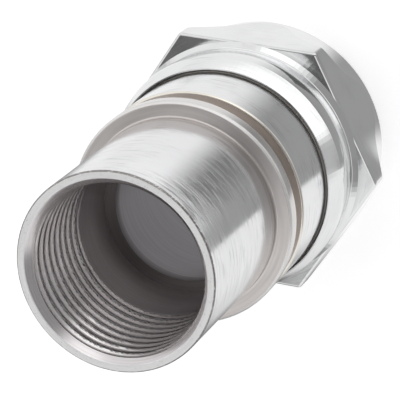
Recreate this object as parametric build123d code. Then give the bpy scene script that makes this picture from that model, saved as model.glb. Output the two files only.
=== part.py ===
"""F connector of the twist-on kind: a turned cable body and a hex coupling nut that spins on it.

The axis of the connector is Z. The nut's front face lies on z = 0 and the cable mouth points up.
All sizes are millimetres.
"""
from build123d import *
import math
import os

# Coupling nut, outside
hex_flats = 11.0
hex_length = 3.8
nose_front_inset = 0.05
nose_rear_outset = 0.25
nose_length = 1.95
corner_chamfer_length = 0.95
flare_length = 0.85
flare_rise = 0.13
collar_length = 0.65
bead_length = 1.26

# Coupling nut, inside
thread_wall = 1.15
port_mouth_chamfer = 0.5
shoulder_width = 0.79
lip_thickness = 0.66
lip_edge_wall = 0.07
skirt_wall = 0.21

# Cable body, outside
barrel_wall = 0.6
barrel_length = 7.25
barrel_root_radius = 0.1
rim_edge_break = 0.05
flange_rise = 0.68
flange_thickness = 0.7
flange_chamfer = 0.1
groove_width = 0.88
groove_depth = 0.45
band_length = 3.745
band_edge_chamfer = 0.12
capture_flange_thickness = 0.95
capture_overlap = 0.1

# Cable body, inside
cable_bore_d = 7.2
bore_end_wall = 0.3
rim_width = 0.31
countersink_depth = 0.35
cable_stop_width = 0.5
core_edge_chamfer = 0.2

# Running clearances between the body and the nut
lip_clearance = 0.11
chamber_clearance = 0.06
axial_play = 0.075

# Radii of the nut, and of what turns inside it, from the flats inwards
flats_r = hex_flats / 2
thread_r = flats_r - thread_wall
chamber_r = thread_r + shoulder_width
capture_flange_r = chamber_r - chamber_clearance
lip_hole_r = capture_flange_r - capture_overlap
band_r = lip_hole_r - lip_clearance
groove_r = band_r - groove_depth
collar_r = chamber_r + skirt_wall
lip_edge_r = lip_hole_r + lip_edge_wall

# Radii of the body's cable end, from the cable outwards
cable_r = cable_bore_d / 2
core_r = cable_r - cable_stop_width
barrel_r = cable_r + barrel_wall
flange_r = barrel_r + flange_rise
rim_flat_r = barrel_r - rim_width

# Heights of the nut, from its front face
flare_top = hex_length + flare_length
bead_start = flare_top + collar_length
nut_length = bead_start + bead_length
chamber_top = nut_length - lip_thickness
chamber_bottom = chamber_top - capture_flange_thickness - 2 * axial_play

# Heights of the body, from the nut's front face
capture_front = chamber_bottom + axial_play
capture_rear = capture_front + capture_flange_thickness
band_rear = capture_rear + band_length
flange_front = band_rear + groove_width
flange_rear = flange_front + flange_thickness
mouth = flange_rear + barrel_length
bore_step = flange_front + bore_end_wall


def turn(*stretches):
    """Turn a closed profile of (radius, height) edges about the Z axis."""
    with BuildPart() as turned:
        with BuildSketch(Plane.XZ):
            with BuildLine():
                for stretch in stretches:
                    add(stretch)
            make_face()
        revolve(axis=Axis.Z)
    return turned.part


def rise_radius(rise, length):
    """Radius of an arc that leaves a line along the axis and has moved aside by rise after length."""
    return (rise ** 2 + length ** 2) / (2 * rise)


def make_cable_body():
    """One turned piece: capture flange, band, groove, flange, barrel and the stepped bore."""
    front_and_band = Polyline(
        (core_r + core_edge_chamfer, capture_front),
        (capture_flange_r, capture_front),
        (capture_flange_r, capture_rear),
        (band_r, capture_rear),
        (band_r, band_rear - band_edge_chamfer),
        (band_r - band_edge_chamfer, band_rear),
        (groove_r, band_rear),
        (groove_r, flange_front),
        (flange_r - band_edge_chamfer, flange_front),
        (flange_r, flange_front + band_edge_chamfer),
        (flange_r, flange_rear - flange_chamfer),
        (flange_r - flange_chamfer, flange_rear),
        (barrel_r + barrel_root_radius, flange_rear),
    )
    root = CenterArc(
        (barrel_r + barrel_root_radius, flange_rear + barrel_root_radius), barrel_root_radius, 270, -90
    )
    barrel_and_bore = Polyline(
        (barrel_r, flange_rear + barrel_root_radius),
        (barrel_r, mouth - rim_edge_break),
        (barrel_r - rim_edge_break, mouth),
        (rim_flat_r, mouth),
        (cable_r, mouth - countersink_depth),
        (cable_r, bore_step),
        (core_r, bore_step),
        (core_r, capture_front + core_edge_chamfer),
        (core_r + core_edge_chamfer, capture_front),
    )
    return turn(front_and_band, root, barrel_and_bore)


def make_hex():
    """The hexagon with one corner on +X, its front corners turned down to a slightly tapered nose."""
    with BuildPart() as bar:
        with BuildSketch():
            RegularPolygon(flats_r, 6, major_radius=False)
        extrude(amount=hex_length)
    corner_r = hex_flats / math.sqrt(3)
    chamfer_top = nose_length + corner_chamfer_length
    outside = corner_r + hex_length
    above = chamfer_top + hex_length
    nose = turn(
        Polyline(
            (0, 0),
            (flats_r - nose_front_inset, 0),
            (flats_r + nose_rear_outset, nose_length),
            (corner_r, chamfer_top),
            (outside, above),
            (0, above),
            close=True,
        )
    )
    return bar.part & nose


def make_collar():
    """The collar behind the hexagon, flared at its root and rolled in at its rear edge."""
    flare_r = rise_radius(flare_rise, flare_length)
    flare_turn = math.degrees(math.asin(flare_length / flare_r))
    bead_r = rise_radius(collar_r - lip_edge_r, bead_length)
    bead_turn = math.degrees(math.asin(bead_length / bead_r))
    flare = CenterArc((collar_r + flare_r, flare_top), flare_r, 180, flare_turn)
    straight = Line((collar_r, flare_top), (collar_r, bead_start))
    bead = CenterArc((collar_r - bead_r, bead_start), bead_r, 0, bead_turn)
    closing = Polyline(
        (lip_edge_r, nut_length),
        (0, nut_length),
        (0, hex_length),
        (collar_r + flare_rise, hex_length),
    )
    return turn(flare, straight, bead, closing)


def make_nut_bore():
    """The space inside the nut: port thread, chamber for the capture flange and the lip's hole."""
    return turn(
        Polyline(
            (0, 0),
            (thread_r + port_mouth_chamfer, 0),
            (thread_r, port_mouth_chamfer),
            (thread_r, chamber_bottom),
            (chamber_r, chamber_bottom),
            (chamber_r, chamber_top),
            (lip_hole_r, chamber_top),
            (lip_hole_r, nut_length),
            (0, nut_length),
            close=True,
        )
    )


def make_coupling_nut():
    """The nut: a tapered hexagon and a rolled collar, bored from both ends."""
    return make_hex() + make_collar() - make_nut_bore()


def save(node, shape):
    """Write one node as a STEP file."""
    export_step(shape, os.path.join("parts", node + ".step"))


os.makedirs("parts", exist_ok=True)
save("cable_body", make_cable_body())
save("coupling_nut", make_coupling_nut())
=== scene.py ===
"""Looks of a twist-on F connector: two turned, nickel-plated pieces with cut threads, in a white studio."""
import logging
import math
from dataclasses import dataclass, field
from enum import Enum
from typing import Sequence

import bpy
from mathutils import Matrix, Vector


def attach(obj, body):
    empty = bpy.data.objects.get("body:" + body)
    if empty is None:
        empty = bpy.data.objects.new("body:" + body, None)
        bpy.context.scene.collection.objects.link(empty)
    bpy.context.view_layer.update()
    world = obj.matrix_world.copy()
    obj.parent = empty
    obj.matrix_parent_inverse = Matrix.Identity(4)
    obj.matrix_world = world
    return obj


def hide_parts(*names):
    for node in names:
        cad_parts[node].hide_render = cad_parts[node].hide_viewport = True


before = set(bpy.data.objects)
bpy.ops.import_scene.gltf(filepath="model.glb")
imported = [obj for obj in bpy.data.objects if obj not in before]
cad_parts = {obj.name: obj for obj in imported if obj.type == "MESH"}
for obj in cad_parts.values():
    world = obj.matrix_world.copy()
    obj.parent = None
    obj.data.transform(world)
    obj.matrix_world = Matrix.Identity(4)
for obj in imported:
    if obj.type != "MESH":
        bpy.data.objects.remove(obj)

LOG = logging.getLogger("f_connector")
MM = 0.001
TURN_STEPS = 144
MERGE_REACH = 0.0005
ROUND_ANGLE = math.radians(25.0)
SMOOTH_ANGLE = math.radians(38.0)

Point = tuple[float, float]
Span = tuple[float, float]
Colour = tuple[float, float, float]
Socket = bpy.types.NodeSocket


class Cut(Enum):
    """How one solid works on another."""

    OFF = "DIFFERENCE"
    COMMON = "INTERSECT"
    JOIN = "UNION"


class Bench:
    """The hand tools that shape a mesh. Pieces are made in mm and shrunk to metres when they are done."""

    @staticmethod
    def pick(piece: bpy.types.Object) -> None:
        """Make one piece the only selected one, and the active one.

        Args:
            piece: The piece to pick.
        """
        bpy.ops.object.select_all(action="DESELECT")
        piece.select_set(True)
        bpy.context.view_layer.objects.active = piece

    @classmethod
    def trace(cls, name: str, outline: Sequence[Point]) -> bpy.types.Object:
        """Draw an outline in the plane of X and Z, one vertex after the other.

        Args:
            name: Name of the new object.
            outline: Points as (radius, height), in mm.

        Returns:
            An object that holds the outline's vertices and edges.
        """
        bpy.ops.object.select_all(action="DESELECT")
        bpy.ops.mesh.primitive_plane_add(size=1.0)
        piece = bpy.context.active_object
        piece.name = name
        bpy.ops.object.mode_set(mode="EDIT")
        bpy.ops.mesh.select_all(action="SELECT")
        bpy.ops.mesh.merge(type="CENTER")
        first_r, first_z = outline[0]
        bpy.ops.transform.translate(value=(first_r, 0.0, first_z))
        for (r0, z0), (r1, z1) in zip(outline, outline[1:]):
            bpy.ops.mesh.extrude_vertices_move(TRANSFORM_OT_translate={"value": (r1 - r0, 0.0, z1 - z0)})
        bpy.ops.object.mode_set(mode="OBJECT")
        return piece

    @classmethod
    def close(cls, piece: bpy.types.Object, reach: float = MERGE_REACH) -> None:
        """Merge a mesh's doubles, close what is open and point its faces outwards.

        Args:
            piece: The piece to work on.
            reach: Distance within which vertices are merged, in mm.
        """
        cls.pick(piece)
        bpy.ops.object.mode_set(mode="EDIT")
        bpy.ops.mesh.select_all(action="SELECT")
        bpy.ops.mesh.remove_doubles(threshold=reach)
        bpy.ops.mesh.select_all(action="SELECT")
        bpy.ops.mesh.fill_holes(sides=0)
        bpy.ops.mesh.select_all(action="SELECT")
        bpy.ops.mesh.normals_make_consistent(inside=False)
        bpy.ops.object.mode_set(mode="OBJECT")

    @classmethod
    def turn(cls, name: str, outline: Sequence[Point], edge_round: float = 0.0) -> bpy.types.Object:
        """Turn an outline about the Z axis, as on a lathe.

        Args:
            name: Name of the new object.
            outline: Points as (radius, height), in mm, from the axis to the axis or back to the first point.
            edge_round: Width of the rounding on every sharp edge, in mm.

        Returns:
            The turned solid.
        """
        piece = cls.trace(name, outline)
        cls.pick(piece)
        bpy.ops.object.mode_set(mode="EDIT")
        bpy.ops.mesh.select_all(action="SELECT")
        bpy.ops.mesh.spin(steps=TURN_STEPS, angle=math.tau, center=(0.0, 0.0, 0.0), axis=(0.0, 0.0, 1.0))
        bpy.ops.object.mode_set(mode="OBJECT")
        cls.close(piece)
        if edge_round:
            cls.soften(piece, edge_round)
        return piece

    @classmethod
    def soften(cls, piece: bpy.types.Object, width: float, segments: int = 3) -> None:
        """Round every edge that turns by more than the rounding angle.

        Args:
            piece: The piece to work on.
            width: Width of the rounding, in mm.
            segments: Number of steps across the rounding.
        """
        cls.pick(piece)
        bevel = piece.modifiers.new("Edge round", "BEVEL")
        bevel.width = width
        bevel.segments = segments
        bevel.limit_method = "ANGLE"
        bevel.angle_limit = ROUND_ANGLE
        bpy.ops.object.modifier_apply(modifier=bevel.name)

    @classmethod
    def work(cls, piece: bpy.types.Object, tool: bpy.types.Object, cut: Cut) -> None:
        """Let a tool solid work on a piece, and put the tool away.

        Args:
            piece: The solid that is changed.
            tool: The solid that works on it, which is deleted.
            cut: What the tool does.
        """
        cls.pick(piece)
        boolean = piece.modifiers.new(cut.name.title(), "BOOLEAN")
        boolean.object = tool
        boolean.operation = cut.value
        boolean.solver = "EXACT"
        bpy.ops.object.modifier_apply(modifier=boolean.name)
        bpy.data.objects.remove(tool, do_unlink=True)

    @classmethod
    def finish(cls, piece: bpy.types.Object) -> None:
        """Shrink a piece from millimetres to metres and shade it smooth up to its sharp edges.

        Args:
            piece: The piece to finish.
        """
        cls.close(piece)
        bpy.ops.object.mode_set(mode="EDIT")
        bpy.ops.mesh.select_all(action="SELECT")
        bpy.ops.transform.resize(value=(MM, MM, MM), center_override=(0.0, 0.0, 0.0))
        bpy.ops.object.mode_set(mode="OBJECT")
        bpy.ops.object.shade_smooth_by_angle(angle=SMOOTH_ANGLE, keep_sharp_edges=True)
        weighted = piece.modifiers.new("Flat faces lead", "WEIGHTED_NORMAL")
        weighted.keep_sharp = True
        bpy.ops.object.modifier_apply(modifier=weighted.name)


@dataclass(frozen=True)
class Thread:
    """A right-handed thread that is cut into a bore. Sizes are mm."""

    bore_r: float
    depth: float
    pitch: float
    mouth_width: float
    bottom: float
    turns: int
    root_width: float = 0.0
    steps: int = 96
    run_out_turns: float = 0.0
    run_out_depths: float = 1.5
    wave_points: int = 0
    wave_start: float = 0.02

    def section(self) -> list[Point]:
        """List the groove's section, with straight flanks or, if it has wave points, as a soft wave.

        Returns:
            Points as (radius, height), in mm.
        """
        inner_r = self.bore_r - self.depth
        if self.wave_points:
            half, start_r = self.mouth_width / 2.0, self.bore_r - self.wave_start
            places = [half * (2.0 * i / self.wave_points - 1.0) for i in range(self.wave_points + 1)]
            rise = self.bore_r + self.depth - start_r
            wave = [
                (start_r + rise * (0.5 + 0.5 * math.cos(math.pi * z / half)), self.bottom + z) for z in places
            ]
            return [(inner_r, self.bottom - half), *wave, (inner_r, self.bottom + half)]
        outer_r = self.bore_r + self.depth
        slope = (self.mouth_width - self.root_width) / (2.0 * self.depth)
        inner_half = self.root_width / 2.0 + slope * 2.0 * self.depth
        return [
            (inner_r, self.bottom - inner_half),
            (outer_r, self.bottom - self.root_width / 2.0),
            (outer_r, self.bottom + self.root_width / 2.0),
            (inner_r, self.bottom + inner_half),
        ]

    def cutter(self, name: str) -> bpy.types.Object:
        """Wind the groove's section up a helix, with a run-out at the deep end if the thread has one.

        Args:
            name: Name of the cutter.

        Returns:
            A closed coil, to be cut off the bore's wall.
        """
        section = self.section()
        coil = Bench.trace(name, section + section[:1])
        Bench.close(coil)
        Bench.pick(coil)
        bpy.ops.object.mode_set(mode="EDIT")
        bpy.ops.mesh.select_all(action="SELECT")
        bpy.ops.mesh.delete(type="ONLY_FACE")
        bpy.ops.object.mode_set(mode="OBJECT")
        screw = coil.modifiers.new("Helix", "SCREW")
        screw.axis = "Z"
        screw.angle = math.tau
        screw.screw_offset = self.pitch
        screw.iterations = self.turns
        screw.steps = self.steps
        screw.render_steps = self.steps
        bpy.ops.object.modifier_apply(modifier=screw.name)
        if self.run_out_turns:
            self._run_out(coil)
        Bench.close(coil)
        return coil

    def _run_out(self, coil: bpy.types.Object) -> None:
        """Let the groove grow shallow over its first stretch, which is the deep end of the bore.

        Args:
            coil: The cutter to draw in.
        """
        stretch = self.run_out_turns * self.pitch
        for vertex in coil.data.vertices:
            angle = math.atan2(vertex.co.y, vertex.co.x) % math.tau
            height = vertex.co.z - self.bottom
            turn = round((height / self.pitch) - angle / math.tau)
            climbed = (turn + angle / math.tau) * self.pitch
            if climbed < stretch:
                radius = math.hypot(vertex.co.x, vertex.co.y)
                drawn_in = radius - self.run_out_depths * self.depth * (1.0 - climbed / stretch)
                vertex.co.x *= drawn_in / radius
                vertex.co.y *= drawn_in / radius


class Graph:
    """The nodes of a material or of the world, added one at a time.

    A mix node has sockets for every kind of value under the same names, so they go by number here.
    """

    MIX_FACTOR = 0
    MIX_NUMBERS = (2, 3)
    MIX_COLOURS = (6, 7)
    MIX_COLOUR_OUT = 2

    def __init__(self, tree: bpy.types.NodeTree) -> None:
        """Start with an empty tree.

        Args:
            tree: The node tree to fill, whose own nodes are cleared.
        """
        self.tree = tree
        self.tree.nodes.clear()

    def node(self, kind: str, inputs: dict | None = None, **settings: object) -> bpy.types.Node:
        """Add a node, set its properties and link or set its inputs.

        Args:
            kind: The node's type name.
            inputs: Sockets or plain values for the node's inputs, by name or number.
            settings: Properties of the node.

        Returns:
            The new node.
        """
        new = self.tree.nodes.new(kind)
        for key, value in settings.items():
            setattr(new, key, value)
        for key, value in (inputs or {}).items():
            if isinstance(value, Socket):
                self.tree.links.new(value, new.inputs[key])
            else:
                new.inputs[key].default_value = value
        return new

    def math(self, operation: str, *values: object) -> Socket:
        """Work out one number from others and return its socket."""
        return self.node("ShaderNodeMath", dict(enumerate(values)), operation=operation).outputs[0]

    def radius(self, x: Socket, y: Socket) -> Socket:
        """Give the distance from the Z axis and return the socket."""
        return self.math("SQRT", self.math("ADD", self.math("POWER", x, 2.0), self.math("POWER", y, 2.0)))

    def step(self, value: Socket, low: float, high: float) -> Socket:
        """Rise smoothly from 0 at one value to 1 at another.

        Args:
            value: Socket of the value.
            low: Where the rise starts.
            high: Where the rise ends, which may lie below its start.

        Returns:
            The rise's socket.
        """
        ramp = self.node(
            "ShaderNodeMapRange",
            {"Value": value, "From Min": low, "From Max": high, "To Min": 0.0, "To Max": 1.0},
            interpolation_type="SMOOTHSTEP",
        )
        return ramp.outputs["Result"]

    def between(self, value: Socket, low: float, high: float, soft: float) -> Socket:
        """Give 1 between two values and 0 outside of them, with soft ends.

        Args:
            value: Socket of the value.
            low: The lower value.
            high: The upper value.
            soft: How far each end fades to both sides.

        Returns:
            The share's socket.
        """
        rising = self.step(value, low - soft, low + soft)
        falling = self.step(value, high - soft, high + soft)
        return self.math("SUBTRACT", rising, falling)

    def sector(self, angle: Socket, start: Span, end: Span) -> Socket:
        """Rise to 1 over one span of an angle, fall to 0 over another and return the socket."""
        return self.math("SUBTRACT", self.step(angle, *start), self.step(angle, *end))

    def noise(self, vector: Socket, scale: float, detail: float = 2.0) -> Socket:
        """Add a noise of one scale and return its socket."""
        node = self.node("ShaderNodeTexNoise", {"Vector": vector, "Scale": scale, "Detail": detail})
        return node.outputs["Fac"]

    def lerp(self, factor: object, first: object, second: object) -> Socket:
        """Blend two numbers by a factor and return the socket."""
        inputs = {self.MIX_FACTOR: factor, **dict(zip(self.MIX_NUMBERS, (first, second)))}
        return self.node("ShaderNodeMix", inputs).outputs[0]

    def blend(self, factor: object, first: object, second: object) -> Socket:
        """Blend two colours by a factor.

        Args:
            factor: Share of the second colour.
            first: A colour or its socket.
            second: A colour or its socket.

        Returns:
            The blend's socket.
        """
        colours = (colour if isinstance(colour, Socket) else (*colour, 1.0) for colour in (first, second))
        inputs = {self.MIX_FACTOR: factor, **dict(zip(self.MIX_COLOURS, colours))}
        return self.node("ShaderNodeMix", inputs, data_type="RGBA").outputs[self.MIX_COLOUR_OUT]


def new_material(name: str) -> tuple[bpy.types.Material, Graph]:
    """Start an empty material.

    Args:
        name: Name of the material.

    Returns:
        The material and the graph of its nodes.
    """
    material = bpy.data.materials.new(name)
    material.use_nodes = True
    return material, Graph(material.node_tree)


@dataclass(frozen=True)
class Zone:
    """A stretch of a turned piece with a finish of its own, between two heights and two radii, in mm. Its
    colour is often painted shade or a painted highlight.
    """

    heights: Span
    radii: Span
    colour: Colour
    roughness: float
    metallic: float = 1.0
    soft: float = 0.03


@dataclass(frozen=True)
class Marks:
    """Marks in rings round the axis: a noise's scales round the axis and along the surface, per mm."""

    around: float
    along: float
    detail: float = 2.0


@dataclass(frozen=True)
class Burr:
    """Dark specks on a rim: a burr on its outer edge and pits on its face.

    Face and edge are mm from the rim's height, and a span of the grain is where its specks fade in.
    """

    height: float
    face: Span = (-0.03, -0.01)
    edge: Span = (-0.1, -0.07)
    edge_r: Span = (4.13, 4.15)
    burr_grain: Span = (0.3, 0.45)
    pit_grain: Span = (0.62, 0.74)
    pit_share: float = 0.4
    share: float = 0.85
    colour: Colour = (0.2, 0.18, 0.17)

    def cover(self, graph: Graph, z: Socket, radius: Socket, grain: Socket) -> Socket:
        """Tell how much the specks cover.

        Args:
            graph: The nodes to add to.
            z: Socket of the height, in mm.
            radius: Socket of the distance from the axis, in mm.
            grain: Socket of a fine noise.

        Returns:
            The share's socket.
        """
        on_face = graph.step(z, *(self.height + offset for offset in self.face))
        beside_edge = graph.step(z, *(self.height + offset for offset in self.edge))
        on_edge = graph.math("MULTIPLY", beside_edge, graph.step(radius, *self.edge_r))
        burr = graph.math("MULTIPLY", on_edge, graph.step(grain, *self.burr_grain))
        pits = graph.math("MULTIPLY", on_face, graph.step(grain, *self.pit_grain))
        specks = graph.math("MAXIMUM", burr, graph.math("MULTIPLY", pits, self.pit_share))
        return graph.math("MULTIPLY", specks, self.share)


@dataclass(frozen=True)
class TurnedNickel:
    """Nickel plate over turned brass, with marks from the lathe and zones of a duller or warmer finish, whose
    colours are mostly painted shade, painted warm reflections and painted highlights.

    A tone is a share of a colour, and a span of a noise is where its marks fade in.
    """

    name: str
    colour: Colour
    roughness: float
    ring_depth: float
    ripple_depth: float
    streaks: float
    zones: tuple[Zone, ...] = ()
    burr: Burr | None = None
    rings: Marks = Marks(around=0.3, along=9.0, detail=3.0)
    ripple: Marks = Marks(around=1.4, along=5.0)
    scratches: Marks = Marks(around=0.7, along=16.0, detail=3.0)
    hairs: Marks = Marks(around=0.8, along=6.0)
    face_slope: float = 0.8
    cloud_scale: float = 0.6
    grain_scale: float = 14.0
    cloud_span: Span = (0.35, 0.7)
    cloud_tone: float = 0.96
    scratch_span: Span = (0.52, 0.68)
    worn_span: Span = (0.42, 0.6)
    worn_tone: float = 0.55
    hair_span: Span = (0.4, 0.62)
    brushed_span: Span = (0.34, 0.56)
    unbrushed: float = 0.5
    smoother: float = 0.7
    rougher: float = 0.45
    zone_tones: Span = (0.82, 1.18)

    def build(self) -> bpy.types.Material:
        """Make the material.

        Returns:
            The finished material.
        """
        material, graph = new_material(self.name)
        place = graph.node("ShaderNodeTexCoord").outputs["Object"]
        axes = graph.node("ShaderNodeSeparateXYZ", {0: place})
        x, y, z = (graph.math("MULTIPLY", axes.outputs[axis], 1.0 / MM) for axis in "XYZ")
        radius = graph.radius(x, y)
        along = graph.math("ADD", z, graph.math("MULTIPLY", radius, self.face_slope))
        kinds = (self.rings, self.ripple, self.scratches, self.hairs)
        rings, ripple, scratches, hairs = (self.lay(graph, marks, x, y, along) for marks in kinds)
        spots = graph.node("ShaderNodeCombineXYZ", {0: x, 1: y, 2: z}).outputs[0]
        cloud = graph.noise(spots, self.cloud_scale)
        grain = graph.noise(spots, self.grain_scale)

        colour = self.plate(graph, cloud, scratches)
        roughness = self.brush(graph, cloud, hairs)
        metallic: object = 1.0
        for zone in self.zones:
            in_heights = graph.between(z, *zone.heights, zone.soft)
            inside = graph.math("MULTIPLY", in_heights, graph.between(radius, *zone.radii, zone.soft))
            dark, light = (tuple(min(1.0, tone * c) for c in zone.colour) for tone in self.zone_tones)
            colour = graph.blend(inside, colour, graph.blend(rings, dark, light))
            roughness = graph.lerp(inside, roughness, zone.roughness)
            metallic = graph.lerp(inside, metallic, zone.metallic)
        if self.burr is not None:
            colour = graph.blend(self.burr.cover(graph, z, radius, grain), colour, self.burr.colour)

        ring_height = graph.math("MULTIPLY", rings, self.ring_depth)
        height = graph.math("ADD", ring_height, graph.math("MULTIPLY", ripple, self.ripple_depth))
        bump = graph.node("ShaderNodeBump", {"Strength": 1.0, "Distance": MM, "Height": height})
        shader = graph.node(
            "ShaderNodeBsdfPrincipled",
            {"Base Color": colour, "Roughness": roughness, "Normal": bump.outputs[0], "Metallic": metallic},
        )
        graph.node("ShaderNodeOutputMaterial", {"Surface": shader.outputs[0]})
        return material

    def plate(self, graph: Graph, cloud: Socket, scratches: Socket) -> Socket:
        """Colour the plate, a little clouded and worn along its scratches.

        Args:
            graph: The nodes to add to.
            cloud: Socket of a coarse noise.
            scratches: Socket of the scratches' noise.

        Returns:
            The colour's socket.
        """
        clouded, worn = (tuple(tone * c for c in self.colour) for tone in (self.cloud_tone, self.worn_tone))
        colour = graph.blend(graph.step(cloud, *self.cloud_span), self.colour, clouded)
        in_patches = graph.step(cloud, *self.worn_span)
        wear = graph.math("MULTIPLY", graph.step(scratches, *self.scratch_span), in_patches)
        return graph.blend(graph.math("MULTIPLY", wear, self.streaks), colour, worn)

    def brush(self, graph: Graph, cloud: Socket, hairs: Socket) -> Socket:
        """Give the roughness, which follows fine hairs in brushed patches.

        Args:
            graph: The nodes to add to.
            cloud: Socket of a coarse noise.
            hairs: Socket of the hairs' noise.

        Returns:
            The roughness's socket.
        """
        in_patches = graph.step(cloud, *self.brushed_span)
        share = graph.lerp(in_patches, self.unbrushed, graph.step(hairs, *self.hair_span))
        spread = self.roughness * self.streaks
        smoothest = self.roughness - self.smoother * spread
        roughest = self.roughness + self.rougher * spread
        return graph.lerp(share, smoothest, roughest)

    @staticmethod
    def lay(graph: Graph, marks: Marks, x: Socket, y: Socket, along: Socket) -> Socket:
        """Lay a noise in rings round the axis.

        Args:
            graph: The nodes to add to.
            marks: The noise's scales.
            x: Socket of the place along X, in mm.
            y: Socket of the place along Y, in mm.
            along: Socket of the distance along the turned surface, in mm.

        Returns:
            The noise's socket.
        """
        parts = {
            0: graph.math("MULTIPLY", x, marks.around),
            1: graph.math("MULTIPLY", y, marks.around),
            2: graph.math("MULTIPLY", along, marks.along),
        }
        return graph.noise(graph.node("ShaderNodeCombineXYZ", parts).outputs[0], 1.0, marks.detail)


@dataclass
class CableBody:
    """The turned body: capture flange, band, groove, flange, barrel and the threaded bore. Sizes are mm."""

    finish: TurnedNickel
    barrel_r: float = 4.2
    root_r: float = 0.1
    flange_r: float = 4.88
    flange_chamfer: float = 0.1
    groove_r: float = 4.42
    band_r: float = 4.87
    edge_chamfer: float = 0.06
    capture_r: float = 5.08
    core_r: float = 3.1
    core_chamfer: float = 0.2
    cable_r: float = 3.6
    rim_flat_r: float = 3.89
    rim_break: float = 0.05
    countersink: float = 0.35
    capture_front: float = 4.875
    capture_rear: float = 5.825
    band_rear: float = 9.57
    flange_front: float = 10.45
    flange_rear: float = 11.15
    mouth: float = 18.399
    bore_step: float = 10.75
    edge_round: float = 0.025
    root_steps: int = 5
    bore_rings: int = 13
    ring_step: float = 0.1
    thread: Thread = field(
        default_factory=lambda: Thread(
            bore_r=3.6, depth=0.12, pitch=0.53, mouth_width=0.5, bottom=13.1, turns=10, run_out_turns=1.0,
            wave_points=8,
        )
    )

    def outline(self) -> list[Point]:
        """List the body's outline from its front bore edge round to the same point.

        The bore has close rings where the thread runs out, so that the cut leaves no long thin faces there.

        Returns:
            Points as (radius, height), in mm.
        """
        centre_r = self.barrel_r + self.root_r
        centre_z = self.flange_rear + self.root_r
        root = [
            (centre_r - self.root_r * math.sin(a), centre_z - self.root_r * math.cos(a))
            for a in (math.pi / 2 * i / self.root_steps for i in range(self.root_steps + 1))
        ]
        above = self.bore_rings // 2
        heights = [self.thread.bottom + self.ring_step * (above - i) for i in range(self.bore_rings)]
        start = (self.core_r + self.core_chamfer, self.capture_front)
        return [
            start,
            (self.capture_r, self.capture_front),
            (self.capture_r, self.capture_rear),
            (self.band_r, self.capture_rear),
            (self.band_r, self.band_rear - self.edge_chamfer),
            (self.band_r - self.edge_chamfer, self.band_rear),
            (self.groove_r, self.band_rear),
            (self.groove_r, self.flange_front),
            (self.flange_r - self.edge_chamfer, self.flange_front),
            (self.flange_r, self.flange_front + self.edge_chamfer),
            (self.flange_r, self.flange_rear - self.flange_chamfer),
            (self.flange_r - self.flange_chamfer, self.flange_rear),
            *root,
            (self.barrel_r, self.mouth - self.rim_break),
            (self.barrel_r - self.rim_break, self.mouth),
            (self.rim_flat_r, self.mouth),
            (self.cable_r, self.mouth - self.countersink),
            *((self.cable_r, height) for height in heights),
            (self.cable_r, self.bore_step),
            (self.core_r, self.bore_step),
            (self.core_r, self.capture_front + self.core_chamfer),
            start,
        ]

    def build(self) -> bpy.types.Object:
        """Turn the body, cut its cable thread and give it its finish.

        Returns:
            The finished piece, which stands for the CAD body.
        """
        piece = Bench.turn("cable_body_turned", self.outline(), self.edge_round)
        Bench.work(piece, self.thread.cutter("cable_tap"), Cut.OFF)
        Bench.finish(piece)
        piece.data.materials.clear()
        piece.data.materials.append(self.finish.build())
        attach(piece, "body")
        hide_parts("cable_body")
        return piece


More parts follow.
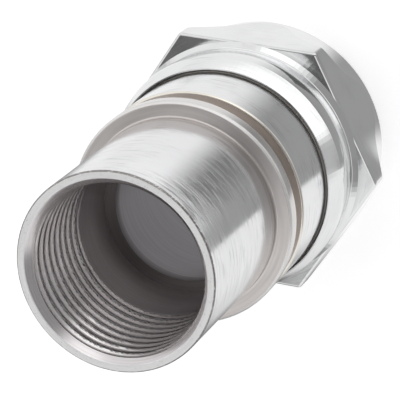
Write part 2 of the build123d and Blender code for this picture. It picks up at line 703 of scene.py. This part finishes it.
@dataclass
class CouplingNut:
    """The hex nut: a hexagon with a turned nose, a flared collar with a rolled rear edge, and its bore.

    Sizes are mm. A tilt is the upright part of a face's normal.
    """

    finish: TurnedNickel
    flats_r: float = 5.5
    sides: int = 6
    hex_length: float = 3.8
    nose_front_r: float = 5.45
    nose_rear_r: float = 5.75
    nose_length: float = 1.95
    chamfer_length: float = 0.95
    collar_r: float = 5.35
    neck_r: float = 5.25
    neck_z: float = 4.122
    flare_start: Point = (5.309, 3.981)
    flare_r: float = 5.49
    bead_start: float = 5.3
    length: float = 6.56
    bead_bend: Point = (5.325, 5.65)
    lip_edge_r: float = 5.03
    lip_hole_r: float = 4.98
    chamber_r: float = 5.14
    chamber_top: float = 5.9
    chamber_bottom: float = 4.8
    thread_r: float = 4.35
    mouth_chamfer: float = 0.5
    corner_round: float = 0.12
    corner_segments: int = 4
    sliver: float = 0.02
    spare: float = 1.0
    ease_length: float = 0.5
    ease_steps: int = 6
    front_break: float = 0.05
    arc_steps: int = 12
    collar_root: float = 3.0
    front_tilt: float = -0.9
    nose_tilt: float = -0.05
    flat_tilt: float = 0.02
    thread: Thread = field(
        default_factory=lambda: Thread(
            bore_r=4.35, depth=0.4, pitch=0.794, mouth_width=0.62, root_width=0.1, bottom=-0.7, turns=6
        )
    )

    @property
    def corner_r(self) -> float:
        """Give the radius of the hexagon's corners."""
        return self.flats_r / math.cos(math.pi / self.sides)

    @property
    def nose_slope(self) -> float:
        """Give how fast the nose widens along the axis."""
        return (self.nose_rear_r - self.nose_front_r) / self.nose_length

    def bar(self) -> bpy.types.Object:
        """Cut a length of hexagon bar with a corner on +X and rounded edges.

        Returns:
            The bar, which ends at the hexagon's rear face and reaches past its front.
        """
        length = self.hex_length + self.spare
        middle = self.hex_length - length / 2.0
        bpy.ops.object.select_all(action="DESELECT")
        bpy.ops.mesh.primitive_cylinder_add(
            vertices=self.sides, radius=self.corner_r, depth=length, location=(0.0, 0.0, middle)
        )
        bar = bpy.context.active_object
        bar.name = "coupling_nut_turned"
        bpy.ops.object.transform_apply(location=True, rotation=True, scale=True)
        bpy.ops.object.mode_set(mode="EDIT")
        bpy.ops.mesh.select_all(action="SELECT")
        bpy.ops.transform.rotate(value=math.pi / self.sides, orient_axis="Z", center_override=(0.0, 0.0, 0.0))
        bpy.ops.object.mode_set(mode="OBJECT")
        Bench.soften(bar, self.corner_round, self.corner_segments)
        return bar

    def eased(self) -> list[Point]:
        """Ease the kink between the nose and the chamfer behind it by a parabola.

        Returns:
            Points as (radius, height), in mm.
        """
        chamfer_slope = (self.corner_r - self.nose_rear_r) / self.chamfer_length
        points = []
        for i in range(self.ease_steps + 1):
            share = i / self.ease_steps
            before, after = (1.0 - share) ** 2, share ** 2
            aside = self.ease_length * (chamfer_slope * after - self.nose_slope * before)
            points.append((self.nose_rear_r + aside, self.nose_length + self.ease_length * (after - before)))
        return points

    def hexagon(self) -> bpy.types.Object:
        """Turn the front of the hexagon bar down to the nose.

        Returns:
            The hexagon, solid inside.
        """
        bar = self.bar()
        chamfer_top = self.nose_length + self.chamfer_length
        above = chamfer_top + self.hex_length
        nose = Bench.turn(
            "nose",
            [
                (0.0, 0.0),
                (self.nose_front_r - self.front_break, 0.0),
                (self.nose_front_r + self.nose_slope * self.front_break, self.front_break),
                *self.eased(),
                (self.corner_r, chamfer_top),
                (self.corner_r + self.hex_length, above),
                (0.0, above),
            ],
        )
        Bench.work(bar, nose, Cut.COMMON)
        Bench.close(bar, self.sliver)
        return bar

    def crisp(self, piece: bpy.types.Object) -> None:
        """Mark the edges where the turned nose cuts the hexagon's flats, so that the shading breaks there.

        Args:
            piece: The finished nut, still in mm.
        """
        on_nose: dict[tuple[int, int], set[bool]] = {}
        for face in piece.data.polygons:
            middle, tilt = face.center, face.normal.z
            outside = math.hypot(middle.x, middle.y) > self.lip_edge_r and middle.z < self.hex_length
            if outside and self.front_tilt < tilt < self.flat_tilt:
                for key in face.edge_keys:
                    on_nose.setdefault(key, set()).add(tilt < self.nose_tilt)
        Bench.pick(piece)
        for edge in piece.data.edges:
            edge.select = len(on_nose.get(edge.key, ())) == 2
        bpy.ops.object.mode_set(mode="EDIT")
        bpy.ops.mesh.mark_sharp()
        bpy.ops.object.mode_set(mode="OBJECT")

    def arc(self, start: Point, end: Point) -> list[Point]:
        """List points of an arc that leaves its start along the axis and bends aside to its end.

        Args:
            start: Where the arc runs along the axis, as (radius, height) in mm.
            end: Where the arc ends.

        Returns:
            Points as (radius, height), in mm.
        """
        rise, length = end[0] - start[0], end[1] - start[1]
        radius = (rise ** 2 + length ** 2) / (2.0 * abs(rise))
        whole = math.asin(abs(length) / radius)
        turns = [whole * i / self.arc_steps for i in range(self.arc_steps + 1)]
        return [
            (
                start[0] + math.copysign(radius * (1.0 - math.cos(a)), rise),
                start[1] + math.copysign(radius * math.sin(a), length),
            )
            for a in turns
        ]

    def collar(self) -> bpy.types.Object:
        """Turn the collar, flared where it meets the hexagon and rolled in at its rear edge.

        Returns:
            The collar, solid inside.
        """
        neck, crown = (self.neck_r, self.neck_z), (self.collar_r, self.bead_start)
        middle = ((self.neck_r + self.collar_r) / 2.0, (self.neck_z + self.bead_start) / 2.0)
        root = [(0.0, self.collar_root), (self.flare_r, self.collar_root)]
        flare = [(self.flare_r, self.hex_length), *self.arc(neck, self.flare_start)[::-1]]
        swell = [*self.arc(neck, middle)[1:], *self.arc(crown, middle)[-2::-1]]
        bead = [*self.arc(crown, self.bead_bend)[1:], (self.lip_edge_r, self.length)]
        return Bench.turn("collar", [*root, *flare, *swell, *bead, (0.0, self.length)])

    def bore(self) -> bpy.types.Object:
        """Turn the space inside the nut: the port's bore, the chamber and the lip's hole.

        Returns:
            The space as a solid tool.
        """
        return Bench.turn(
            "bore",
            [
                (0.0, -self.spare),
                (self.thread_r + self.mouth_chamfer + self.spare, -self.spare),
                (self.thread_r, self.mouth_chamfer),
                (self.thread_r, self.chamber_bottom),
                (self.chamber_r, self.chamber_bottom),
                (self.chamber_r, self.chamber_top),
                (self.lip_hole_r, self.chamber_top),
                (self.lip_hole_r, self.length + self.spare),
                (0.0, self.length + self.spare),
            ],
        )

    def build(self) -> bpy.types.Object:
        """Make the nut, cut its port thread and give it its finish.

        Returns:
            The finished piece, which stands for the CAD nut.
        """
        piece = self.hexagon()
        Bench.work(piece, self.collar(), Cut.JOIN)
        Bench.work(piece, self.bore(), Cut.OFF)
        Bench.work(piece, self.thread.cutter("port_tap"), Cut.OFF)
        Bench.close(piece)
        self.crisp(piece)
        Bench.finish(piece)
        piece.data.materials.clear()
        piece.data.materials.append(self.finish.build())
        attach(piece, "nut")
        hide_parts("coupling_nut")
        return piece


@dataclass(frozen=True)
class Window:
    """A soft bright patch of the room, by its direction from the object and its radii in degrees."""

    azimuth: float = 266.0
    elevation: float = 32.0
    inner: float = 12.0
    outer: float = 20.0
    strength: float = 1.4

    def direction(self) -> Vector:
        """Give the window's direction.

        Returns:
            A unit vector from the object to the window.
        """
        around, above = math.radians(self.azimuth), math.radians(self.elevation)
        level = math.cos(above)
        return Vector((level * math.cos(around), level * math.sin(around), math.sin(above)))


@dataclass
class Studio:
    """A pale floor in a white room that is dim in front and behind, with a dark strip overhead and a window.

    A shaded card on the floor only shows in the metal. Angles are degrees from the front, which is the
    camera's side. Sizes of the card are mm, and those of the floor metres. A light is a strength, and a
    pair of numbers is the span over which a light holds or fades.
    """

    camera_mm: tuple[float, float, float] = (-31.928, -35.582, 99.06)
    camera_aim: tuple[float, float, float] = (0.3125, 0.3497, -0.8832)
    camera_up: tuple[float, float, float] = (0.165, -0.9356, -0.3121)
    lens: float = 216.0
    sensor: float = 36.0
    clip_mm: float = 1.0
    front_azimuth: float = 228.0
    room_light: float = 0.97
    floor_size: float = 2.0
    floor_paint: float = 0.82
    floor_lift: float = 0.52
    floor_fade: Span = (0.045, 0.12)
    floor_far: float = 0.5
    dim_light: float = 0.34
    dim_start: Span = (-80.0, -68.0)
    dim_end: Span = (4.0, 20.0)
    strip_light: float = 0.14
    strip_middle: float = 0.14
    strip_low: float = 0.08
    strip_turn: Span = (0.9, 0.882)
    strip_width: Span = (0.13, 0.18)
    strip_height: Span = (0.64, 0.74)
    window: Window = Window()
    card_r: float = 27.0
    card_sides: int = 64
    card_lift: float = 0.02
    card_dim: float = 0.36
    card_dark: float = 0.24
    card_fade: Span = (-34.0, 4.0)
    dark_r: Span = (9.6, 10.4)
    card_start: Span = (-49.0, -45.0)
    card_end: Span = (9.0, 45.0)
    card_reach: Span = (14.1, 14.9)
    near_r: Span = (6.7, 7.3)
    near_start: Span = (-44.0, -30.0)
    near_end: Span = (2.0, 18.0)
    far_light: float = 1.35
    far_side: Span = (-26.0, 72.0)
    shade_light: float = 0.55
    shade_side: Span = (-50.0, -26.0)
    side_soft: float = 6.0
    back_light: float = 0.36
    back_edge: Span = (118.0, 138.0)
    back_height: Span = (0.45, 0.15)
    right_light: float = 0.16
    right_start: Span = (-84.0, -128.0)
    right_end: Span = (-175.0, -150.0)
    barrel_r: Span = (9.2, 13.0)
    barrel_soft: float = 0.6
    barrel_share: float = 0.3
    under_light: float = 0.22
    under_r: Span = (5.2, 4.8)

    def split(self, graph: Graph, x: Socket, y: Socket) -> tuple[Socket, Socket]:
        """Split a place or direction into its parts towards the front and across.

        Args:
            graph: The nodes to add to.
            x: Socket of the place or direction along X.
            y: Socket of the place or direction along Y.

        Returns:
            The sockets of both parts.
        """
        front = math.radians(self.front_azimuth)
        cosine, sine = math.cos(front), math.sin(front)
        ahead = graph.math("ADD", graph.math("MULTIPLY", x, cosine), graph.math("MULTIPLY", y, sine))
        across = graph.math("SUBTRACT", graph.math("MULTIPLY", y, cosine), graph.math("MULTIPLY", x, sine))
        return ahead, across

    def aside(self, graph: Graph, x: Socket, y: Socket) -> Socket:
        """Give the angle from the front, in degrees.

        Args:
            graph: The nodes to add to.
            x: Socket of the place or direction along X.
            y: Socket of the place or direction along Y.

        Returns:
            The angle's socket.
        """
        ahead, across = self.split(graph, x, y)
        return graph.math("MULTIPLY", graph.math("ARCTAN2", across, ahead), math.degrees(1.0))

    def back(self, graph: Graph, light: object, angle: Socket, share: object = 1.0) -> Socket:
        """Dim a light behind the object, where the photo's camera doesn't see it mirrored.

        Args:
            graph: The nodes to add to.
            light: The light so far.
            angle: Socket of the angle from the front, in degrees.
            share: How much of the dimming holds.

        Returns:
            The new light's socket.
        """
        behind = graph.step(graph.math("ABSOLUTE", angle), *self.back_edge)
        return graph.lerp(graph.math("MULTIPLY", behind, share), light, self.back_light)

    def right(self, graph: Graph, light: object, angle: Socket, share: object = 1.0) -> Socket:
        """Shade a light on the photo's lower right.

        Args:
            graph: The nodes to add to.
            light: The light so far.
            angle: Socket of the angle from the front, in degrees.
            share: How much of the shade holds.

        Returns:
            The new light's socket.
        """
        past_start = graph.step(angle, *self.right_start)
        inside = graph.math("MULTIPLY", past_start, graph.step(angle, *self.right_end))
        return graph.lerp(graph.math("MULTIPLY", inside, share), light, self.right_light)

    def floor(self) -> bpy.types.Object:
        """Lay the floor, which the camera sees as white and the metal as shaded.

        Returns:
            The floor.
        """
        bpy.ops.object.select_all(action="DESELECT")
        bpy.ops.mesh.primitive_plane_add(size=self.floor_size)
        floor = bpy.context.active_object
        floor.name = "floor"
        material, graph = new_material("floor_white")
        rays = graph.node("ShaderNodeLightPath").outputs
        mirrored = graph.math("MAXIMUM", rays["Is Glossy Ray"], rays["Is Transmission Ray"])
        grey = self.floor_paint
        paint = graph.node("ShaderNodeBsdfDiffuse", {"Color": (grey, grey, grey, 1.0)})
        lifted = graph.math("MULTIPLY", rays["Is Camera Ray"], self.floor_lift)
        lift = graph.node("ShaderNodeEmission", {"Strength": lifted})
        seen = graph.node("ShaderNodeAddShader", {0: paint.outputs[0], 1: lift.outputs[0]})
        place = graph.node("ShaderNodeTexCoord").outputs["Object"]
        distance = graph.node("ShaderNodeVectorMath", {0: place}, operation="LENGTH").outputs["Value"]
        axes = graph.node("ShaderNodeSeparateXYZ", {0: place})
        angle = self.aside(graph, axes.outputs["X"], axes.outputs["Y"])
        fade = graph.lerp(graph.step(distance, *self.floor_fade), self.room_light, self.floor_far)
        fade = self.right(graph, self.back(graph, fade, angle), angle)
        plain = graph.node("ShaderNodeEmission", {"Strength": fade})
        both = graph.node("ShaderNodeMixShader", {0: mirrored, 1: seen.outputs[0], 2: plain.outputs[0]})
        graph.node("ShaderNodeOutputMaterial", {"Surface": both.outputs[0]})
        floor.data.materials.append(material)
        return floor

    def card(self) -> bpy.types.Object:
        """Lay the card round the object, which only shows in the metal.

        Returns:
            The card.
        """
        bpy.ops.object.select_all(action="DESELECT")
        bpy.ops.mesh.primitive_circle_add(
            vertices=self.card_sides,
            radius=self.card_r * MM,
            fill_type="NGON",
            location=(0.0, 0.0, self.card_lift * MM),
        )
        card = bpy.context.active_object
        card.name = "shaded_card"
        bpy.ops.object.transform_apply(location=True, rotation=True, scale=True)
        material, graph = new_material("card_shaded")
        place = graph.node("ShaderNodeTexCoord").outputs["Object"]
        axes = graph.node("ShaderNodeSeparateXYZ", {0: place})
        x, y = (graph.math("MULTIPLY", axes.outputs[axis], 1.0 / MM) for axis in "XY")
        light = self.card_light(graph, graph.radius(x, y), self.aside(graph, x, y))
        paint = graph.node("ShaderNodeEmission", {"Strength": light})
        graph.node("ShaderNodeOutputMaterial", {"Surface": paint.outputs[0]})
        card.data.materials.append(material)
        card.visible_camera = False
        card.visible_diffuse = False
        card.visible_shadow = False
        return card

    def card_light(self, graph: Graph, radius: Socket, angle: Socket) -> Socket:
        """Shade the card: bright far in front, dim near the object, under it, behind it and on its right.

        Args:
            graph: The nodes to add to.
            radius: Socket of the distance from the axis, in mm.
            angle: Socket of the angle from the front, in degrees.

        Returns:
            The light's socket.
        """
        beyond = graph.step(radius, *self.card_reach)
        far = graph.math("MULTIPLY", beyond, graph.between(angle, *self.far_side, self.side_soft))
        light = graph.lerp(far, self.room_light, self.far_light)
        shade = graph.math("MULTIPLY", beyond, graph.between(angle, *self.shade_side, self.side_soft))
        light = graph.lerp(shade, light, self.shade_light)
        light = self.back(graph, light, angle)
        by_barrel = graph.between(radius, *self.barrel_r, self.barrel_soft)
        light = self.right(graph, light, angle, graph.lerp(by_barrel, 1.0, self.barrel_share))
        open_side = graph.sector(angle, self.card_start, self.card_end)
        near_side = graph.sector(angle, self.near_start, self.near_end)
        side = graph.lerp(graph.step(radius, *self.near_r), near_side, open_side)
        reached = graph.step(radius, *self.card_reach[::-1])
        darker = graph.math("MULTIPLY", graph.step(radius, *self.dark_r), graph.step(angle, *self.card_fade))
        dim = graph.lerp(darker, self.card_dim, self.card_dark)
        light = graph.lerp(graph.math("MULTIPLY", side, reached), light, dim)
        return graph.lerp(graph.step(radius, *self.under_r), light, self.under_light)

    def room(self) -> None:
        """Light the room with its dim sides, strip and window. The camera itself sees plain white."""
        world = bpy.data.worlds.new("white_room")
        world.use_nodes = True
        graph = Graph(world.node_tree)
        direction = graph.node("ShaderNodeTexCoord").outputs["Generated"]
        axes = graph.node("ShaderNodeSeparateXYZ", {0: direction})
        x, y, z = (axes.outputs[axis] for axis in "XYZ")
        angle = self.aside(graph, x, y)
        light = graph.lerp(graph.sector(angle, self.dim_start, self.dim_end), self.room_light, self.dim_light)
        light = self.back(graph, light, angle, graph.step(z, *self.back_height))
        _, across = self.split(graph, x, y)
        middle = graph.lerp(graph.step(z, *self.strip_turn), self.strip_middle, self.strip_low)
        off_middle = graph.math("ABSOLUTE", graph.math("SUBTRACT", across, middle))
        strip = graph.step(off_middle, *self.strip_width[::-1])
        overhead = graph.math("MULTIPLY", strip, graph.step(z, *self.strip_height))
        light = graph.lerp(overhead, light, self.strip_light)
        nearness = graph.node(
            "ShaderNodeVectorMath", {0: direction, 1: tuple(self.window.direction())}, operation="DOT_PRODUCT"
        ).outputs["Value"]
        edges = (math.cos(math.radians(self.window.outer)), math.cos(math.radians(self.window.inner)))
        light = graph.lerp(graph.step(nearness, *edges), light, self.window.strength)
        rays = graph.node("ShaderNodeLightPath").outputs
        room = graph.node("ShaderNodeBackground", {"Color": (1.0, 1.0, 1.0, 1.0), "Strength": light})
        white = graph.node("ShaderNodeBackground", {"Color": (1.0, 1.0, 1.0, 1.0), "Strength": 1.0})
        mix = graph.node(
            "ShaderNodeMixShader", {0: rays["Is Camera Ray"], 1: room.outputs[0], 2: white.outputs[0]}
        )
        graph.node("ShaderNodeOutputWorld", {"Surface": mix.outputs[0]})
        bpy.context.scene.world = world

    def camera(self) -> bpy.types.Object:
        """Set the camera where the photo was taken from.

        Returns:
            The camera.
        """
        aim = Vector(self.camera_aim).normalized()
        right = aim.cross(Vector(self.camera_up)).normalized()
        up = right.cross(aim)
        data = bpy.data.cameras.new("camera")
        data.lens = self.lens
        data.sensor_width = self.sensor
        data.clip_start = self.clip_mm * MM
        camera = bpy.data.objects.new("camera", data)
        bpy.context.collection.objects.link(camera)
        turned = Matrix((right, up, -aim)).transposed().to_4x4()
        camera.matrix_world = Matrix.Translation(Vector(self.camera_mm) * MM) @ turned
        bpy.context.scene.camera = camera
        return camera

    def build(self) -> None:
        """Set up the whole studio."""
        bpy.context.scene.view_settings.view_transform = "Standard"
        self.floor()
        self.card()
        self.room()
        self.camera()


BODY_NICKEL = TurnedNickel(
    name="body_nickel",
    colour=(0.8, 0.803, 0.811),
    roughness=0.17,
    ring_depth=0.0018,
    ripple_depth=0.0028,
    streaks=0.65,
    zones=(
        # Root of the barrel, darker: painted shade where it meets the flange
        Zone(heights=(11.2, 11.62), radii=(4.1, 4.3), colour=(0.66, 0.64, 0.635), roughness=0.24, soft=0.06),
        # Rear face of the flange, darker and warmer: painted shade and painted warm reflections
        Zone(heights=(11.08, 11.3), radii=(4.1, 4.82), colour=(0.66, 0.625, 0.61), roughness=0.38),
        # Groove, darker and brown: painted shade and painted warm reflections
        Zone(heights=(9.56, 10.47), radii=(4.0, 4.83), colour=(0.64, 0.59, 0.555), roughness=0.35),
        # Outside of the flange, a little darker: painted shade
        Zone(heights=(10.5, 11.08), radii=(4.8, 4.95), colour=(0.7, 0.685, 0.67), roughness=0.22),
        # Broken rear edge of the flange, near white: a painted highlight
        Zone(
            heights=(11.06, 11.2), radii=(4.79, 4.95), colour=(0.97, 0.93, 0.91),
            roughness=0.35, metallic=0.6, soft=0.01,
        ),
        # Broken rear edge of the band, pale gold: a painted warm highlight
        Zone(heights=(9.5, 9.58), radii=(4.78, 4.9), colour=(0.86, 0.81, 0.74), roughness=0.2, soft=0.01),
        # Foot of the band, beside the gap, dark: painted shade
        Zone(heights=(5.0, 6.68), radii=(4.6, 5.2), colour=(0.36, 0.345, 0.335), roughness=0.3, soft=0.09),
        # Capture flange and the band inside the nut
        Zone(
            heights=(5.0, 6.54), radii=(4.6, 5.2), colour=(0.8, 0.78, 0.76),
            roughness=0.6, metallic=0.1, soft=0.02,
        ),
        # Whole bore, darker: painted shade inside it
        Zone(heights=(0.0, 18.2), radii=(0.0, 3.9), colour=(0.62, 0.585, 0.595), roughness=0.28),
        # Crests of the thread, pale and warm: painted highlights
        Zone(heights=(13.5, 18.1), radii=(3.5, 3.68), colour=(0.98, 0.92, 0.91), roughness=0.2),
        # Plain wall behind the thread, dark: painted shade deep in the bore
        Zone(heights=(10.6, 13.45), radii=(3.08, 3.75), colour=(0.54, 0.495, 0.5), roughness=0.32, soft=0.15),
        # End of the plain wall, in the step's corner: painted shade, a little lighter than on the wall before
        # it
        Zone(
            heights=(10.6, 11.5), radii=(3.5, 3.7), colour=(0.6, 0.55, 0.555),
            roughness=0.5, metallic=0.4, soft=0.2,
        ),
        # Face of the step, nearly black: painted shade
        Zone(
            heights=(10.6, 10.77), radii=(3.08, 3.6), colour=(0.2, 0.18, 0.18),
            roughness=0.5, metallic=0.9, soft=0.01,
        ),
        # Edge of the core's bore, darker: painted shade
        Zone(heights=(10.3, 10.74), radii=(0.0, 3.15), colour=(0.42, 0.4, 0.415), roughness=0.4, soft=0.01),
        # Core's bore, pale and lilac: painted light, standing in for light through the nut's open front
        Zone(heights=(0.0, 10.45), radii=(0.0, 3.2), colour=(0.84, 0.815, 0.865), roughness=0.34, soft=0.3),
        # Countersink, a little darker: painted shade
        Zone(heights=(18.08, 18.37), radii=(3.58, 3.92), colour=(0.68, 0.65, 0.655), roughness=0.24),
        # Rim
        Zone(
            heights=(18.38, 19.0), radii=(0.0, 5.0), colour=(0.97, 0.96, 0.955),
            roughness=0.45, metallic=0.12,
        ),
    ),
    burr=Burr(height=18.4),
)
NUT_NICKEL = TurnedNickel(
    name="nut_nickel",
    colour=(0.812, 0.816, 0.82),
    roughness=0.12,
    ring_depth=0.001,
    ripple_depth=0.0008,
    streaks=0.2,
    zones=(
        # Port's bore with its thread, darker: painted shade inside it
        Zone(heights=(0.2, 5.8), radii=(0.0, 4.9), colour=(0.6, 0.58, 0.56), roughness=0.26),
        # Hole in the rolled lip
        Zone(
            heights=(5.0, 6.545), radii=(4.6, 5.02), colour=(0.8, 0.78, 0.76),
            roughness=0.6, metallic=0.1, soft=0.02,
        ),
    ),
)


def main() -> None:
    """Build the pieces and the studio."""
    logging.basicConfig(level=logging.INFO, format="%(name)s: %(message)s")
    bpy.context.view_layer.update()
    for part in (CableBody(BODY_NICKEL), CouplingNut(NUT_NICKEL)):
        piece = part.build()
        LOG.info("%s has %d faces", piece.name, len(piece.data.polygons))
    Studio().build()
    LOG.info("studio is set")


if __name__ == "__main__":
    main()
